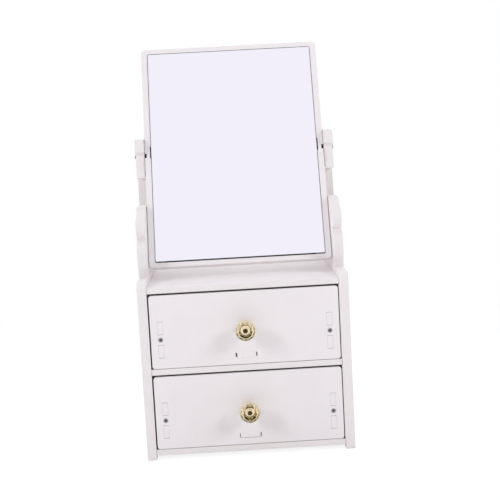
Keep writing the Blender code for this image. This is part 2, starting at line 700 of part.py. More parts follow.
class DrawerMeshes:
    """The meshes of one drawer; x = 0 in the middle, y = 0 at the front, z = 0 on the bay's floor."""

    def __init__(self, bay):
        self.front_top = bay - FRONT_TOP_GAP
        self.knob_z = (FRONT_BOTTOM_GAP + self.front_top) / 2
        self.side_tabs = Tabs(spread_offsets(SIDE_TENON_SPREAD), SIDE_TENON, DRAWER_FRONT)
        self.rear_tabs = Tabs(spread_offsets(SIDE_TENON_SPREAD), SIDE_TENON, DRAWER_BOARD)
        self.screw = screw_mesh()
        self.room = screw_room()
        self.side_front = DRAWER_FRONT + FIT
        self.side_rear = DRAWER_REAR - DRAWER_BOARD - FIT
        self.side_z_middle = FIT + SIDE_HEIGHT / 2

    def screw_places(self):
        """Where each drawer screw's head lies, and its turn about Z."""
        front = SCREW_SINK
        rear = DRAWER_REAR - SCREW_SINK
        places = {}
        for side, x in (("left", -SIDE_MIDDLE), ("right", SIDE_MIDDLE)):
            places[f"front_screw_{side}"] = ((x, front, self.side_z_middle), math.pi / 2)
            places[f"rear_screw_{side}"] = ((x, rear, self.side_z_middle), -math.pi / 2)
        return places

    def screw_rooms(self):
        """The rooms of all four screws."""
        return [
            (self.room, here(*place) @ Matrix.Rotation(turn, 4, "Z"))
            for place, turn in self.screw_places().values()
        ]

    def side_mortises(self, near, far):
        """The slots for both side boards' tenons in a board between two depths."""
        slots = []
        for x in (-SIDE_MIDDLE, SIDE_MIDDLE):
            for offset in self.side_tabs.offsets:
                half = DRAWER_BOARD / 2 + FIT
                reach = SIDE_TENON / 2 + TENON_END_GAP
                z = self.side_z_middle + offset
                low = (x - half, near - OVERRUN, z - reach)
                slots.append((block("slot", low, (x + half, far + OVERRUN, z + reach)), here()))
        return slots

    def floor_mortise(self, near, far):
        """The slot for the floor's tenon in a board between two depths."""
        half = FLOOR_TENON / 2 + TENON_END_GAP
        low = (-half, near - OVERRUN, FLOOR_Z - FIT)
        high = (half, far + OVERRUN, FLOOR_Z + DRAWER_BOARD + FIT)
        return [(block("slot", low, high), here())]

    def front(self):
        """The front, with its slots, screw holes and the knob's hole."""
        low = (-FRONT_HALF, FRONT_BOTTOM_GAP)
        outline = rounded_outline(low, (FRONT_HALF, self.front_top), FRONT_CORNER)
        body = prism("drawer_front", outline, "XZ", 0.0, DRAWER_FRONT)
        hole = round_room(KNOB_SCREW_RADIUS, -OVERRUN, DRAWER_FRONT + OVERRUN, "Y")
        knob_hole = (hole, here(z=self.knob_z))
        slots = self.side_mortises(0.0, DRAWER_FRONT) + self.floor_mortise(0.0, DRAWER_FRONT)
        return carved(body, slots + [knob_hole], self.screw_rooms())

    def rear(self):
        """The back, as wide as the front so that it guides the drawer, and as high as the sides."""
        low = (-FRONT_HALF, FIT)
        high = (FRONT_HALF, FIT + SIDE_HEIGHT)
        near = DRAWER_REAR - DRAWER_BOARD
        body = prism("drawer_back", rounded_outline(low, high, FRONT_CORNER), "XZ", near, DRAWER_REAR)
        slots = self.side_mortises(near, DRAWER_REAR) + self.floor_mortise(near, DRAWER_REAR)
        return carved(body, slots, self.screw_rooms())

    def side(self, sign):
        """A side board, with tenons at both ends and a slot for the floor."""
        low = (self.side_front, FIT)
        high = (self.side_rear, FIT + SIDE_HEIGHT)
        outline = tabbed_outline(low, high, right=self.rear_tabs, left=self.side_tabs)
        levels = sorted((sign * SIDE_INNER, sign * SIDE_OUTER))
        body = prism("drawer_side", outline, "YZ", *levels)
        middle = (self.side_front + self.side_rear) / 2
        reach = FLOOR_SIDE_TENON / 2 + TENON_END_GAP
        slot = block(
            "slot",
            (levels[0] - OVERRUN, middle - reach, FLOOR_Z - FIT),
            (levels[1] + OVERRUN, middle + reach, FLOOR_Z + DRAWER_BOARD + FIT),
        )
        return carved(body, [(slot, here())], self.screw_rooms())

    def floor(self):
        """The floor, with a tenon in each board around it."""
        half = SIDE_INNER - FIT
        side_tab = Tabs((0.0,), FLOOR_SIDE_TENON, DRAWER_BOARD)
        outline = tabbed_outline(
            (-half, self.side_front),
            (half, self.side_rear),
            lower=Tabs((0.0,), FLOOR_TENON, DRAWER_FRONT),
            right=side_tab,
            upper=Tabs((0.0,), FLOOR_TENON, DRAWER_BOARD),
            left=side_tab,
        )
        return carved(prism("drawer_floor", outline, "XY", FLOOR_Z, FLOOR_Z + DRAWER_BOARD))


def knob_base_mesh():
    """The gilt base along -Y: a foot, a waisted neck, a cup and the stud inside the crystal."""
    soft = ARRIS
    waist = (KNOB_FOOT + KNOB_CUP_START) / 2
    profile = (
        (0.0, -FIT),
        (KNOB_FOOT_RADIUS, -FIT),
        (KNOB_FOOT_RADIUS, -KNOB_FOOT + soft),
        (KNOB_FOOT_RADIUS - soft, -KNOB_FOOT),
        (KNOB_NECK_RADIUS + soft, -KNOB_FOOT - soft),
        (KNOB_NECK_RADIUS, -waist),
        (KNOB_NECK_RADIUS + soft, -KNOB_CUP_START + soft),
        (KNOB_CUP_RADIUS - soft, -KNOB_CUP_START - soft),
        (KNOB_CUP_RADIUS, -(KNOB_CUP_START + KNOB_CUP_END) / 2),
        (KNOB_CUP_RADIUS - soft, -KNOB_CUP_END),
        (KNOB_STUD_RADIUS, -KNOB_CUP_END),
        (KNOB_STUD_RADIUS, -KNOB_STUD_END + soft),
        (KNOB_STUD_RADIUS - soft, -KNOB_STUD_END),
        (0.0, -KNOB_STUD_END),
    )
    base = turned("knob_base", profile, "Y", steps=KNOB_STEPS)
    thread = round_room(KNOB_SCREW_RADIUS, -KNOB_SCREW_GRIP - FIT, OVERRUN, "Y")
    mesh = carved(base, [(thread, here())], arris=0.0)
    mesh.set_sharp_from_angle(angle=SHARP_ANGLE)
    return mesh


def crystal_mesh():
    """The crystal: rings of corners, each turned half a facet against the last, with a socket behind."""
    work = bmesh.new()
    seat = KNOB_CUP_END + FIT
    length = KNOB_REACH - seat
    rings = []
    for radius_share, length_share, half_turn in CRYSTAL_RING_SHARES:
        ring = []
        for index in range(CRYSTAL_SIDES):
            angle = 2 * math.pi * (index + half_turn) / CRYSTAL_SIDES
            reach = CRYSTAL_RADIUS * radius_share
            place = (reach * math.cos(angle), -seat - length * length_share, reach * math.sin(angle))
            ring.append(work.verts.new(place))
        rings.append(ring)
    for index, (near, far) in enumerate(zip(rings, rings[1:])):
        lead = index % 2
        for corner in range(CRYSTAL_SIDES):
            following = (corner + 1) % CRYSTAL_SIDES
            if lead:
                work.faces.new((near[corner], far[following], far[corner]))
                work.faces.new((near[corner], near[following], far[following]))
            else:
                work.faces.new((near[corner], near[following], far[corner]))
                work.faces.new((near[following], far[following], far[corner]))
    work.faces.new(rings[0])
    work.faces.new(rings[-1])
    body = finished("knob_crystal", work)
    socket = round_room(KNOB_STUD_RADIUS, -KNOB_STUD_END - FIT, -seat + OVERRUN, "Y")
    return carved(body, [(socket, here())], arris=0.0)


def knob_screw_mesh():
    """The machine screw from inside the drawer, along -Y, with its head behind the front."""
    seat = DRAWER_FRONT + FIT
    top = seat + KNOB_SCREW_HEAD
    profile = (
        (0.0, -KNOB_SCREW_GRIP),
        (KNOB_SCREW_RADIUS, -KNOB_SCREW_GRIP),
        (KNOB_SCREW_RADIUS, seat),
        (KNOB_SCREW_HEAD_RADIUS, seat),
        (KNOB_SCREW_HEAD_RADIUS, top - 2 * ARRIS),
        (KNOB_SCREW_HEAD_RADIUS - 2 * ARRIS, top),
        (0.0, top),
    )
    return turned("knob_screw", profile, "Y")


def build_drawer(name, meshes, knob, origin):
    """One drawer on its origin, from the meshes that both drawers share."""
    for part, mesh in meshes["boards"].items():
        piece(f"{name}_{part}", mesh, WHITE_BOARD, origin)
    drawer = meshes["drawer"]
    for part, (place, turn) in drawer.screw_places().items():
        piece(f"{name}_{part}", drawer.screw, GREY_STEEL, origin, place, (0.0, 0.0, turn))
    for part, (mesh, finish) in knob.items():
        piece(f"{name}_{part}", mesh, finish, origin, (0.0, 0.0, drawer.knob_z))


def drawer_meshes(bay):
    """The shared meshes of the drawers in a bay of this height."""
    drawer = DrawerMeshes(bay)
    boards = {
        "front": drawer.front(),
        "side_left": drawer.side(-1),
        "side_right": drawer.side(1),
        "back": drawer.rear(),
        "floor": drawer.floor(),
    }
    return {"drawer": drawer, "boards": boards}


def main():
    """Builds the vanity box."""
    clear_scene()
    origin = empty_at("vanity_box", (0.0, FRONT_Y, 0.0))
    Carcass(origin).build()
    pivot = empty_at("mirror_pivot", (0.0, PIVOT_DEPTH, PIVOT_Z), origin, -TILT)
    Mirror(pivot, origin).build()
    knob = {
        "knob_base": (knob_base_mesh(), GILT),
        "knob_crystal": (crystal_mesh(), CRYSTAL),
        "knob_screw": (knob_screw_mesh(), GREY_STEEL),
    }
    upper = empty_at("drawer_upper_origin", (0.0, 0.0, UPPER_BAY_Z), origin)
    build_drawer("drawer_upper", drawer_meshes(UPPER_BAY), knob, upper)
    lower = empty_at("drawer_lower_origin", (0.0, 0.0, LOWER_BAY_Z), origin)
    build_drawer("drawer_lower", drawer_meshes(LOWER_BAY), knob, lower)


main()
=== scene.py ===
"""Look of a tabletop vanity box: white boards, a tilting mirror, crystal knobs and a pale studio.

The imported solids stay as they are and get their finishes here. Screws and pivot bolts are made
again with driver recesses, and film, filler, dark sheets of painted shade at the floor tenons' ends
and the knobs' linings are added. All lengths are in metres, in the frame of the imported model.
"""

from __future__ import annotations

import logging
import math
from dataclasses import dataclass, field
from enum import Enum
from typing import Any, Iterable, Sequence

import bmesh
import bpy
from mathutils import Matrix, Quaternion, Vector

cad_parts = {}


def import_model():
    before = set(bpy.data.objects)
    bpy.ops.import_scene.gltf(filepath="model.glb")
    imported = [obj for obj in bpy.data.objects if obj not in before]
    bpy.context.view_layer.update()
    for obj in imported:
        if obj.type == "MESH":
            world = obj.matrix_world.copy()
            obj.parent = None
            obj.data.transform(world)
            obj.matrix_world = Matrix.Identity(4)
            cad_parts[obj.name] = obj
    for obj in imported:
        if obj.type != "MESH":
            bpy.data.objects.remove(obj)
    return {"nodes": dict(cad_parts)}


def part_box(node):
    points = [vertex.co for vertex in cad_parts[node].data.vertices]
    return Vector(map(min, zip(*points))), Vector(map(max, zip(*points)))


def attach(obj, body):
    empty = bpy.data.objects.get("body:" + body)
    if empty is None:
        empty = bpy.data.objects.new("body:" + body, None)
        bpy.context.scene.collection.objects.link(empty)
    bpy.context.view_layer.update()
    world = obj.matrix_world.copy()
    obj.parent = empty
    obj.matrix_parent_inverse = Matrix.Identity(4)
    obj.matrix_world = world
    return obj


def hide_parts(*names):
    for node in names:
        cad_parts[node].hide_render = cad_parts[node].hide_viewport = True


LOG = logging.getLogger("vanity_box")

Colour = tuple[float, float, float]
Coordinates = tuple[float, float, float]
Range = tuple[float, float]
Profile = Sequence[tuple[float, float]]
Outline = list[tuple[float, float]]
Ring = list[bmesh.types.BMVert]

RIGHTWARD = Vector((1.0, 0.0, 0.0))
LEFTWARD = Vector((-1.0, 0.0, 0.0))
REARWARD = Vector((0.0, 1.0, 0.0))
FORWARD = Vector((0.0, -1.0, 0.0))


class Body(Enum):
    """The bodies that pieces ride on."""

    CABINET = "cabinet"
    MIRROR = "mirror"
    DRAWER_UPPER = "drawer_upper"
    DRAWER_LOWER = "drawer_lower"


class Slot(Enum):
    """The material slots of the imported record."""

    WHITE_BOARD = "white_board"
    MIRROR_SILVER = "mirror_silver"
    BLACK_NYLON = "black_nylon"
    BLACK_FOAM = "black_foam"
    DARK_STEEL = "dark_steel"
    GREY_STEEL = "grey_steel"
    GILT = "gilt"
    CRYSTAL = "crystal"


class Recess(Enum):
    """The driver recesses that a screw's head can have."""

    CROSS = "cross"
    HEXAGON = "hexagon"


@dataclass(frozen=True)
class Grain:
    """A noise: how many cells fill a metre, how many finer layers it has, and their strength."""

    scale: float
    layers: float = 3.0
    strength: float = 0.5


class NodeSheet:
    """A material's node tree, with short calls for the nodes that the finishes use."""

    MIDDLE_PART: Range = (0.3, 0.7)
    FACING_PART: Range = (0.86, 0.94)
    GAP_PART: Range = (0.12, 0.40)

    def __init__(self, name: str) -> None:
        """Makes the material and its shader.

        Args:
            name: The material's name.
        """
        self.material = bpy.data.materials.new(name)
        self.material.use_nodes = True
        self.nodes = self.material.node_tree.nodes
        self.links = self.material.node_tree.links
        self.shader = self.nodes["Principled BSDF"]
        self.place = self.nodes.new("ShaderNodeTexCoord")

    def join(self, source: Any, target: Any) -> None:
        """Links an output socket to an input socket."""
        self.links.new(source, target)

    def noise(self, grain: Grain) -> Any:
        """A noise over the piece's own coordinates.

        Args:
            grain: The noise's size and layers.

        Returns:
            The noise's value socket.
        """
        node = self.nodes.new("ShaderNodeTexNoise")
        node.inputs["Scale"].default_value = grain.scale
        node.inputs["Detail"].default_value = grain.layers
        node.inputs["Roughness"].default_value = grain.strength
        self.join(self.place.outputs["Object"], node.inputs["Vector"])
        return node.outputs[0]

    def spread(self, value: Any, low: float, high: float, part: Range = MIDDLE_PART) -> Any:
        """A part of a value's range, spread over low to high.

        Args:
            value: The socket to read.
            low: The result where the part starts.
            high: The result where the part ends.
            part: The values where the part starts and ends.

        Returns:
            The result's socket.
        """
        node = self.nodes.new("ShaderNodeMapRange")
        node.inputs["From Min"].default_value, node.inputs["From Max"].default_value = part
        node.inputs["To Min"].default_value = low
        node.inputs["To Max"].default_value = high
        self.join(value, node.inputs["Value"])
        return node.outputs["Result"]

    def blend_colours(self, share: Any, first: Any, second: Any) -> Any:
        """Two colours mixed by a share.

        Args:
            share: The socket of the second colour's share.
            first: A colour or a colour socket.
            second: A colour or a colour socket.

        Returns:
            The mixed colour's socket.
        """
        node = self.nodes.new("ShaderNodeMix")
        node.data_type = "RGBA"
        self.join(share, node.inputs[0])
        for value, target in ((first, node.inputs[6]), (second, node.inputs[7])):
            if isinstance(value, tuple):
                target.default_value = (*value, 1.0)
            else:
                self.join(value, target)
        return node.outputs[2]

    def blend_values(self, share: Any, first: Any, second: Any) -> Any:
        """Two values mixed by a share.

        Args:
            share: The socket of the second value's share.
            first: A number or a socket.
            second: A number or a socket.

        Returns:
            The mixed value's socket.
        """
        node = self.nodes.new("ShaderNodeMix")
        self.join(share, node.inputs[0])
        for value, target in ((first, node.inputs[2]), (second, node.inputs[3])):
            if isinstance(value, float):
                target.default_value = value
            else:
                self.join(value, target)
        return node.outputs[0]

    def facing(self, axis: Vector, both_ways: bool) -> Any:
        """Where the surface faces along an axis of the piece.

        Args:
            axis: The axis, in the piece's own coordinates.
            both_ways: True to count faces that look the other way too.

        Returns:
            A socket that is one on such faces and zero elsewhere.
        """
        dot = self.nodes.new("ShaderNodeVectorMath")
        dot.operation = "DOT_PRODUCT"
        dot.inputs[1].default_value = axis
        self.join(self.place.outputs["Normal"], dot.inputs[0])
        value = dot.outputs["Value"]
        if both_ways:
            size = self.nodes.new("ShaderNodeMath")
            size.operation = "ABSOLUTE"
            self.join(value, size.inputs[0])
            value = size.outputs[0]
        return self.spread(value, 0.0, 1.0, self.FACING_PART)

    def in_gap(self, reach: float) -> Any:
        """Where the surface lies deep in a narrow opening between pieces, as ambient occlusion finds it;
        used to place painted shade.

        Args:
            reach: How far other surfaces are felt, in metres.

        Returns:
            A socket that is one deep between pieces and zero in the open.
        """
        node = self.nodes.new("ShaderNodeAmbientOcclusion")
        node.inputs["Distance"].default_value = reach
        return self.spread(node.outputs["AO"], 1.0, 0.0, self.GAP_PART)

    def off_axis(self, across: Coordinates, reach: Range, middle: Coordinates = (0.0, 0.0, 0.0)) -> Any:
        """How far a point lies from an axis.

        Args:
            across: One for each coordinate that counts, zero for the axis itself.
            reach: The distances where the result is still zero, and where it is one.
            middle: A point on the axis.

        Returns:
            The result's socket.
        """
        flat = self.nodes.new("ShaderNodeVectorMath")
        flat.operation = "MULTIPLY"
        flat.inputs[1].default_value = across
        self.join(self.place.outputs["Object"], flat.inputs[0])
        size = self.nodes.new("ShaderNodeVectorMath")
        size.operation = "DISTANCE"
        size.inputs[1].default_value = [part * on for part, on in zip(middle, across)]
        self.join(flat.outputs["Vector"], size.inputs[0])
        return self.spread(size.outputs["Value"], 0.0, 1.0, reach)

    def beyond(self, axis: Coordinates, levels: Range) -> Any:
        """How far a point lies along an axis of the model.

        Args:
            axis: The axis.
            levels: The levels where the result is still zero, and where it is one.

        Returns:
            The result's socket.
        """
        dot = self.nodes.new("ShaderNodeVectorMath")
        dot.operation = "DOT_PRODUCT"
        dot.inputs[1].default_value = axis
        self.join(self.place.outputs["Object"], dot.inputs[0])
        return self.spread(dot.outputs["Value"], 0.0, 1.0, levels)

    def relief(self, height: Any, depth: float) -> Any:
        """A bump of a real depth.

        Args:
            height: The height's socket, from 0 to 1.
            depth: The depth of the relief in metres.

        Returns:
            The normal's socket.
        """
        node = self.nodes.new("ShaderNodeBump")
        node.inputs["Distance"].default_value = depth
        self.join(height, node.inputs["Height"])
        return node.outputs["Normal"]

    def feed(self, name: str, value: Any) -> None:
        """Sets or links one of the shader's inputs.

        Args:
            name: The input's name.
            value: A number, a colour or a socket.
        """
        target = self.shader.inputs[name]
        if isinstance(value, float):
            target.default_value = value
        elif isinstance(value, tuple):
            target.default_value = (*value, 1.0)
        else:
            self.join(value, target)


@dataclass(frozen=True)
class BoardFinish:
    """White foamed board: a fine matt film on its faces, sawn warmer edges, and painted shade in narrow
    gaps.

    Faces that look towards open_side, and all above gap_shade_top, get no painted shade in narrow gaps.
    """

    name: str
    thickness_axis: Coordinates
    face: Colour = (0.845, 0.813, 0.812)
    face_worn: Colour = (0.820, 0.788, 0.786)
    cut: Colour = (0.835, 0.803, 0.790)
    cut_shadow: Colour = (0.795, 0.762, 0.745)
    open_side: Coordinates | None = None
    # painted shade: the near-black colour laid on surfaces deep between pieces
    painted_gap_shade: Colour = (0.022, 0.020, 0.022)
    gap_shade_reach: float = 0.004
    gap_shade_top: Range = (0.1688, 0.1698)
    clouds: Grain = Grain(28.0, 4.0, 0.6)
    cloud_part: Range = (0.35, 0.75)
    film: Grain = Grain(1900.0, 2.0)
    cells: Grain = Grain(900.0, 3.0, 0.7)
    smears: Grain = Grain(60.0, 5.0, 0.65)
    face_roughness: Range = (0.46, 0.60)
    cut_roughness: float = 0.72
    grain_depth: float = 0.00006
    shine: float = 0.35

    def material(self) -> bpy.types.Material:
        """The node material, with its film grain, cloudy tone, saw marks and painted shade in narrow
        gaps.

        Returns:
            The material.
        """
        sheet = NodeSheet(self.name)
        on_face = sheet.facing(Vector(self.thickness_axis), both_ways=True)
        cloud = sheet.spread(sheet.noise(self.clouds), 0.0, 1.0, self.cloud_part)
        face = sheet.blend_colours(cloud, self.face, self.face_worn)
        film = sheet.noise(self.film)
        cells = sheet.noise(self.cells)
        cut = sheet.blend_colours(sheet.spread(cells, 0.0, 1.0), self.cut, self.cut_shadow)
        board = sheet.blend_colours(on_face, cut, face)
        # painted shade: the colour turns near black where ambient occlusion is strong, but not above
        # gap_shade_top nor on faces towards open_side
        above = sheet.beyond((0.0, 0.0, 1.0), self.gap_shade_top)
        painted_gap_shade = sheet.blend_values(above, sheet.in_gap(self.gap_shade_reach), 0.0)
        if self.open_side is not None:
            painted_gap_shade = sheet.blend_values(sheet.facing(Vector(self.open_side), both_ways=False), painted_gap_shade, 0.0)
        sheet.feed("Base Color", sheet.blend_colours(painted_gap_shade, board, self.painted_gap_shade))
        smooth = sheet.spread(sheet.noise(self.smears), *self.face_roughness)
        sheet.feed("Roughness", sheet.blend_values(on_face, self.cut_roughness, smooth))
        height = sheet.blend_values(on_face, cells, film)
        sheet.feed("Normal", sheet.relief(height, self.grain_depth))
        sheet.feed("Specular IOR Level", self.shine)
        return sheet.material


@dataclass(frozen=True)
class MirrorFinish:
    """Silvered glass: a bright face that leans to lavender, and grey-green ground edges."""

    name: str
    face_axis: Coordinates
    silver: Colour = (0.895, 0.868, 0.962)
    edge: Colour = (0.20, 0.26, 0.24)
    clouds: Grain = Grain(9.0, 2.0)
    cloud_part: Range = (0.2, 0.8)
    clouded: float = 0.985
    wiping: Grain = Grain(45.0, 6.0, 0.7)
    face_roughness: Range = (0.012, 0.03)
    edge_roughness: float = 0.35

    def material(self) -> bpy.types.Material:
        """The node material, with faint wiping marks in its gloss.

        Returns:
            The material.
        """
        sheet = NodeSheet(self.name)
        on_face = sheet.facing(Vector(self.face_axis), both_ways=False)
        cloud = sheet.spread(sheet.noise(self.clouds), 0.0, 1.0, self.cloud_part)
        clouded = tuple(part * self.clouded for part in self.silver)
        silver = sheet.blend_colours(cloud, self.silver, clouded)
        sheet.feed("Base Color", sheet.blend_colours(on_face, self.edge, silver))
        sheet.feed("Metallic", on_face)
        marks = sheet.spread(sheet.noise(self.wiping), *self.face_roughness)
        sheet.feed("Roughness", sheet.blend_values(on_face, self.edge_roughness, marks))
        return sheet.material


@dataclass(frozen=True)
class MetalFinish:
    """A metal with fine turning marks and an uneven gloss."""

    name: str
    colour: Colour
    dull: Colour
    gloss: Range
    turning_depth: float = 0.00001
    turning: Grain = Grain(2600.0, 2.0)
    stains: Grain = Grain(420.0, 4.0, 0.6)
    wear: Grain = Grain(700.0, 5.0, 0.6)

    def tone(self, sheet: NodeSheet) -> Any:
        """The metal's colour, with its stains."""
        stain = sheet.spread(sheet.noise(self.stains), 0.0, 1.0)
        return sheet.blend_colours(stain, self.colour, self.dull)

    def material(self) -> bpy.types.Material:
        """The node material of the metal.

        Returns:
            The material.
        """
        sheet = NodeSheet(self.name)
        sheet.feed("Base Color", self.tone(sheet))
        sheet.feed("Metallic", 1.0)
        sheet.feed("Roughness", sheet.spread(sheet.noise(self.wear), *self.gloss))
        sheet.feed("Normal", sheet.relief(sheet.noise(self.turning), self.turning_depth))
        return sheet.material


@dataclass(frozen=True)
class ScrewFinish(MetalFinish):
    """A plated screw: painted shade darkens the middle of its head, around the recess."""

    painted_recess_shade: Colour = (0.045, 0.042, 0.045)
    recess_shade_reach: Range = (0.0006, 0.0017)

    def tone(self, sheet: NodeSheet) -> Any:
        """The plating's colour, darkened by painted shade around the screw's axis, which is X."""
        outside_recess_shade = sheet.off_axis((0.0, 1.0, 1.0), self.recess_shade_reach)
        return sheet.blend_colours(outside_recess_shade, self.painted_recess_shade, super().tone(sheet))


@dataclass(frozen=True)
class KnobBaseFinish(MetalFinish):
    """Gilt plating that ends at the knob's seat: the stud inside the crystal is dark bronze."""

    bronze: Colour = (0.045, 0.030, 0.006)
    seat: Range = (0.0722, 0.0724)

    def tone(self, sheet: NodeSheet) -> Any:
        """The gilt's colour, and the bronze's past the seat."""
        stud = sheet.beyond((0.0, -1.0, 0.0), self.seat)
        return sheet.blend_colours(stud, super().tone(sheet), self.bronze)


@dataclass(frozen=True)
class MouldedFinish:
    """A moulded black part or a foam: dark, with a grain of its own size."""

    name: str
    colour: Colour
    lighter: Colour
    gloss: Range
    grain: Grain
    grain_depth: float
    wear: Grain = Grain(300.0)

    def material(self) -> bpy.types.Material:
        """The node material of the moulding.

        Returns:
            The material.
        """
        sheet = NodeSheet(self.name)
        grain = sheet.noise(self.grain)
        tone = sheet.blend_colours(sheet.spread(grain, 0.0, 1.0), self.colour, self.lighter)
        sheet.feed("Base Color", tone)
        sheet.feed("Roughness", sheet.spread(sheet.noise(self.wear), *self.gloss))
        sheet.feed("Normal", sheet.relief(grain, self.grain_depth))
        return sheet.material


@dataclass(frozen=True)
class CrystalFinish:
    """Cut crystal: clear inside, and painted light makes its outermost facets a pale, less clear rim."""

    name: str
    middle: Coordinates
    clear: Colour = (1.0, 0.985, 0.935)
    tinted: Colour = (0.985, 0.960, 0.890)
    bend: float = 1.53
    glint: Colour = (0.26, 0.20, 0.10)
    painted_rim_light: Colour = (1.0, 0.90, 0.60)
    rim_light_reach: Range = (0.0085, 0.0101)
    rim_light_clear: float = 0.35
    casting: Grain = Grain(160.0, 2.0)
    wear: Grain = Grain(500.0)
    roughness: Range = (0.0, 0.02)

    def material(self) -> bpy.types.Material:
        """The node material, with a trace of cast-in unevenness and a rim of painted light.

        Returns:
            The material.
        """
        sheet = NodeSheet(self.name)
        cast = sheet.spread(sheet.noise(self.casting), 0.0, 1.0)
        rim = sheet.off_axis((1.0, 0.0, 1.0), self.rim_light_reach, self.middle)
        inside = sheet.blend_colours(cast, self.clear, self.tinted)
        # painted light: the outer rim gets a pale yellow colour and less transmission
        sheet.feed("Base Color", sheet.blend_colours(rim, inside, self.painted_rim_light))
        sheet.feed("Transmission Weight", sheet.blend_values(rim, 1.0, self.rim_light_clear))
        sheet.feed("IOR", self.bend)
        sheet.feed("Specular Tint", self.glint)
        sheet.feed("Roughness", sheet.spread(sheet.noise(self.wear), *self.roughness))
        return sheet.material


def finished(work: bmesh.types.BMesh, name: str) -> bpy.types.Mesh:
    """The mesh of a finished piece of work, with its faces turned outwards.

    Args:
        work: The work, which is freed.
        name: The mesh's name.

    Returns:
        The mesh.
    """
    bmesh.ops.recalc_face_normals(work, faces=work.faces)
    mesh = bpy.data.meshes.new(name)
    work.to_mesh(mesh)
    work.free()
    return mesh


def skin(work: bmesh.types.BMesh, rings: Sequence[Ring]) -> None:
    """Joins rings of corners one after the other, and closes both ends.

    Args:
        work: The work that the faces go into.
        rings: The rings, with as many corners in each.
    """
    for near, far in zip(rings, rings[1:]):
        for index in range(len(near)):
            after = (index + 1) % len(near)
            work.faces.new((near[index], near[after], far[after], far[index]))
    work.faces.new(rings[0])
    work.faces.new(rings[-1])


def spun(name: str, profile: Profile, steps: int, sharp: float) -> bpy.types.Mesh:
    """A profile turned about X.

    Args:
        name: The mesh's name.
        profile: Pairs of distance along X and radius, from one point on the axis to the other.
        steps: How many sides the round has.
        sharp: The angle from which an edge stays sharp.

    Returns:
        The closed mesh, shaded smooth with its sharp rims kept.
    """
    work = bmesh.new()
    rings: list[Ring] = []
    for along, radius in profile:
        if radius == 0.0:
            rings.append([work.verts.new((along, 0.0, 0.0))])
            continue
        turns = (2 * math.pi * index / steps for index in range(steps))
        rings.append([work.verts.new((along, radius * math.cos(a), radius * math.sin(a))) for a in turns])
    for near, far in zip(rings, rings[1:]):
        for index in range(steps):
            after = (index + 1) % steps
            corners = [near[index % len(near)], near[after % len(near)]]
            corners += [far[after % len(far)], far[index % len(far)]]
            work.faces.new(list(dict.fromkeys(corners)))
    mesh = finished(work, name)
    mesh.shade_smooth()
    mesh.set_sharp_from_angle(angle=sharp)
    return mesh


def cross_outline(reach: float, width: float) -> Outline:
    """A cross's outline.

    Args:
        reach: How far each arm reaches.
        width: How wide the arms are.

    Returns:
        The corners, anticlockwise.
    """
    half = width / 2
    quarter = [(reach, -half), (reach, half), (half, half)]
    outline: Outline = []
    for _ in range(4):
        outline += quarter
        quarter = [(-y, x) for x, y in quarter]
    return outline


def hexagon_outline(reach: float) -> Outline:
    """A hexagon, anticlockwise, from its corners' reach."""
    turns = (math.pi * index / 3 for index in range(6))
    return [(reach * math.cos(turn), reach * math.sin(turn)) for turn in turns]


def tapered_tool(outline: Outline, depth: float, taper: float, overrun: float) -> bpy.types.Mesh:
    """A cutter along +X that narrows with its depth.

    Args:
        outline: The cutter's outline at the head's face.
        depth: How deep it goes.
        taper: The share of the outline that is left at that depth.
        overrun: How far the cutter stands out of the face.

    Returns:
        The cutter's closed mesh.
    """
    work = bmesh.new()
    rings = []
    for along, share in ((-overrun, 1.0), (0.0, 1.0), (depth, taper)):
        rings.append([work.verts.new((along, y * share, z * share)) for y, z in outline])
    skin(work, rings)
    return finished(work, "recess_tool")


def cut_out(mesh: bpy.types.Mesh, tool_mesh: bpy.types.Mesh) -> bpy.types.Mesh:
    """A mesh with the tool's shape cut out of it.

    Args:
        mesh: The mesh to cut.
        tool_mesh: The cutter's mesh.

    Returns:
        The new mesh, which keeps the first one's name.
    """
    body = bpy.data.objects.new("work_body", mesh)
    tool = bpy.data.objects.new("work_tool", tool_mesh)
    for thing in (body, tool):
        bpy.context.scene.collection.objects.link(thing)
    cut = body.modifiers.new("recess", "BOOLEAN")
    cut.operation = "DIFFERENCE"
    cut.solver = "EXACT"
    cut.object = tool
    graph = bpy.context.evaluated_depsgraph_get()
    result = bpy.data.meshes.new_from_object(body.evaluated_get(graph))
    result.name = mesh.name
    for thing in (body, tool):
        bpy.data.objects.remove(thing, do_unlink=True)
    return result


def thin_plates(name: str, boxes: Iterable[tuple[Vector, Vector]], rim: float) -> bpy.types.Mesh:
    """Thin plates that face -Y, in one mesh.

    Args:
        name: The mesh's name.
        boxes: Each plate's two corners.
        rim: The width of the slope around each plate's face.

    Returns:
        The closed mesh.
    """
    work = bmesh.new()
    for low, high in boxes:
        rings = []
        for y, inset in ((high.y, 0.0), (low.y + rim, 0.0), (low.y, rim)):
            left, right = low.x + inset, high.x - inset
            foot, top = low.z + inset, high.z - inset
            corners = ((left, foot), (right, foot), (right, top), (left, top))
            rings.append([work.verts.new((x, y, z)) for x, z in corners])
        skin(work, rings)
    return finished(work, name)


